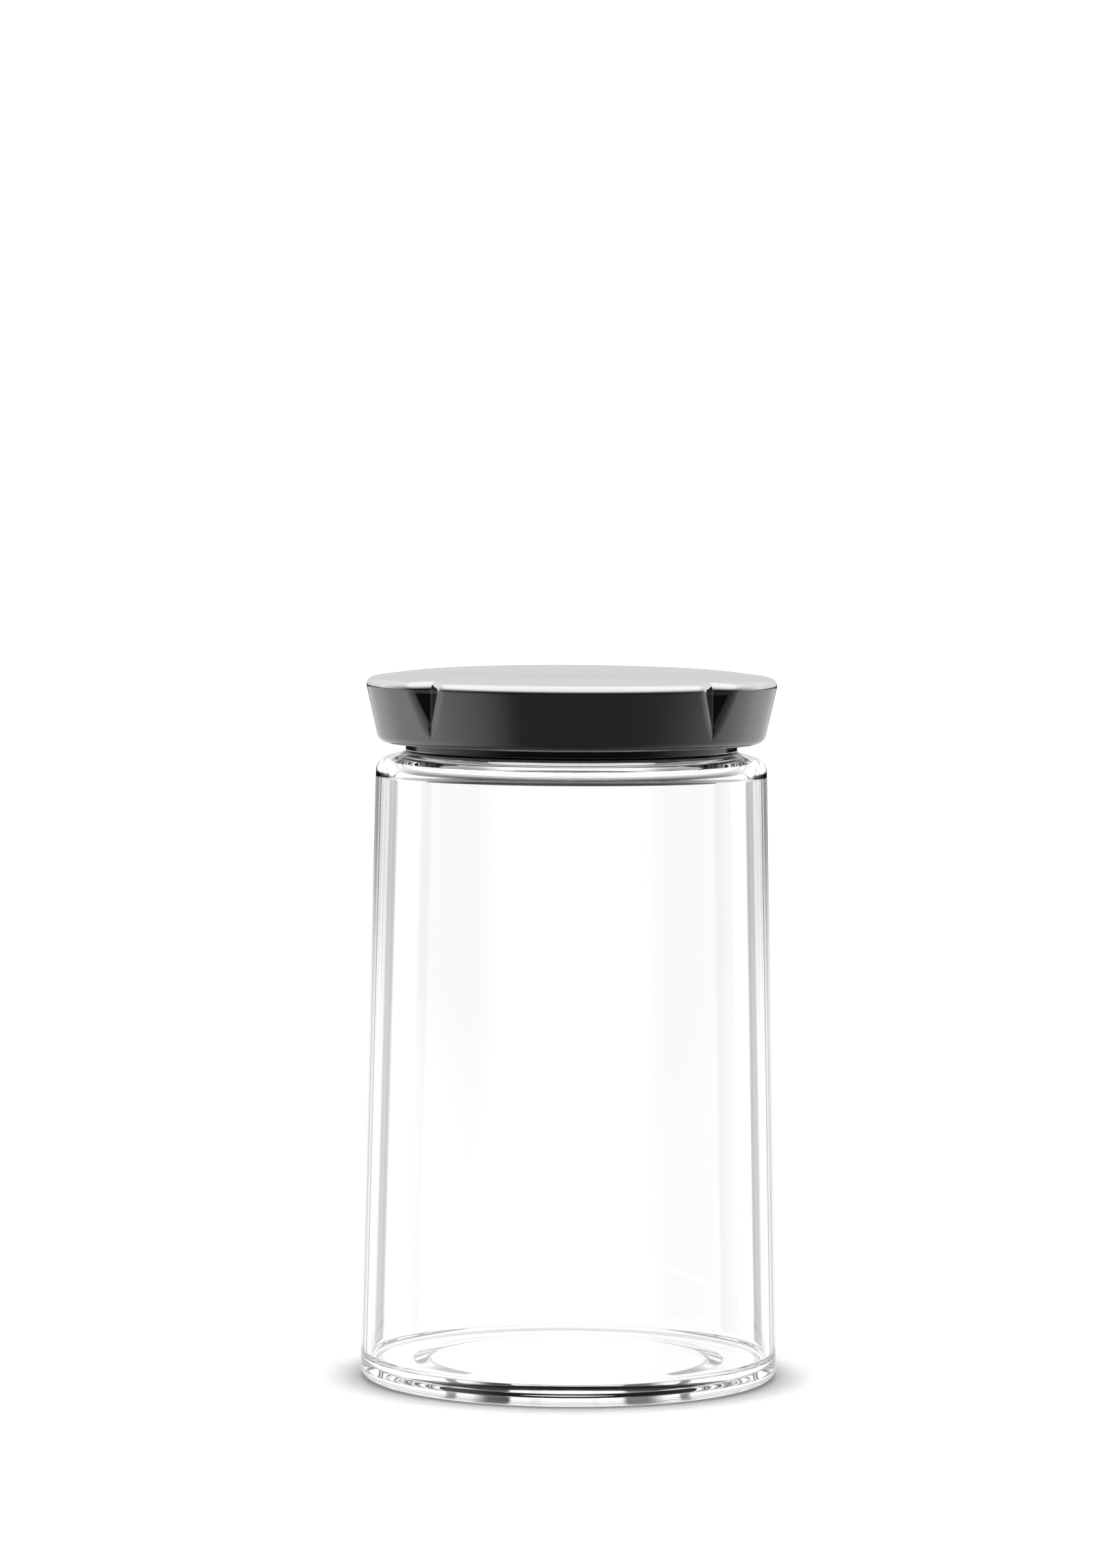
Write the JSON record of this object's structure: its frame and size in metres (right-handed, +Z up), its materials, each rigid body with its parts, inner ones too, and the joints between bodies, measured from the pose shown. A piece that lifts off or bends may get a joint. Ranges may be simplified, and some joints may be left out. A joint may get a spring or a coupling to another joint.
{
  "type": "lidded glass canister",
  "caption": "Tapered clear glass storage jar with a push-in lid: a hollow gloss black cover with finger flutes, a plug with a black collar and a soft clear seal ring.",
  "frame": {"origin": "centre of the jar's foot ring, on the surface it stands on", "axes": "+Z up along the axis of the jar and lid; the four lid flutes lie at 45 degrees to X and Y"},
  "size_m": [0.105, 0.105, 0.1782],
  "materials": {
    "clear_glass": "clear and polished",
    "gloss_black": "high gloss moulded",
    "satin_black": "satin moulded",
    "clear_silicone": "smooth translucent silicone"
  },
  "bodies": {
    "jar": {"glass_jar": "clear_glass"},
    "seal": {"seal_ring": "clear_silicone"},
    "lid": {"lid_cover": "gloss_black", "lid_plug": "satin_black"}
  },
  "joints": [
    {"name": "lid_lift", "type": "slide", "parent": "jar", "child": "seal", "axis": [0, 0, 1], "range_m": [0, 0.06]},
    {"name": "lid_turn", "type": "hinge", "parent": "seal", "child": "lid", "pos_m": [0, 0, 0.157], "axis": [0, 0, 1], "continuous": true}
  ]
}
